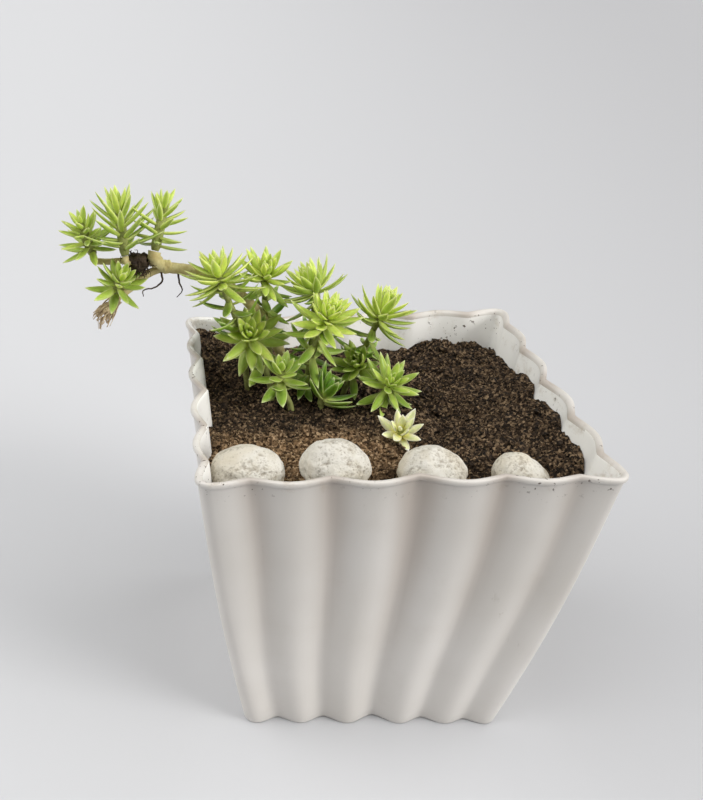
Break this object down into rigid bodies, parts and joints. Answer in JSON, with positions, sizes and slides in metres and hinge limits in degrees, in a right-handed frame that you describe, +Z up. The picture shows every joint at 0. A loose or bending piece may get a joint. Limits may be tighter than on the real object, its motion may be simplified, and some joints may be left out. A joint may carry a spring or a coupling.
{
  "type": "potted succulent",
  "caption": "Square fluted white plastic pot of soil with a clump of light green needle-leaved sedum shoots, one long bare stem with leafy tips, and pale stones along the front rim.",
  "frame": {"origin": "centre of the pot's flat underside", "axes": "+Z up through the pot's open rim, -Y towards the front wall, where the stones lie"},
  "size_m": [0.1895, 0.144, 0.1908],
  "materials": {
    "pot_white": "satin",
    "soil_brown": "matte",
    "stone_pale": "matte",
    "leaf_green": "satin",
    "leaf_pale": "satin",
    "stem_tan": "matte",
    "root_dark": "matte"
  },
  "bodies": {
    "root": {"pot": "pot_white", "soil": "soil_brown", "stone_1": "stone_pale", "stone_2": "stone_pale", "stone_3": "stone_pale", "stone_4": "stone_pale", "shoot_middle": "leaf_green", "shoot_front_left": "leaf_green", "shoot_front_low": "leaf_green", "shoot_front_dark": "leaf_green", "shoot_front_right": "leaf_green", "shoot_back_right": "leaf_green", "shoot_back_left": "leaf_green", "shoot_back_middle": "leaf_green", "shoot_back_small": "leaf_green", "shoot_inner": "leaf_green", "shoot_pale": "leaf_pale", "shoot_far_left": "leaf_green", "shoot_far_tall": "leaf_green", "shoot_far_right": "leaf_green", "shoot_far_low": "leaf_green", "long_stem": "stem_tan", "dark_roots": "root_dark"}
  },
  "joints": []
}
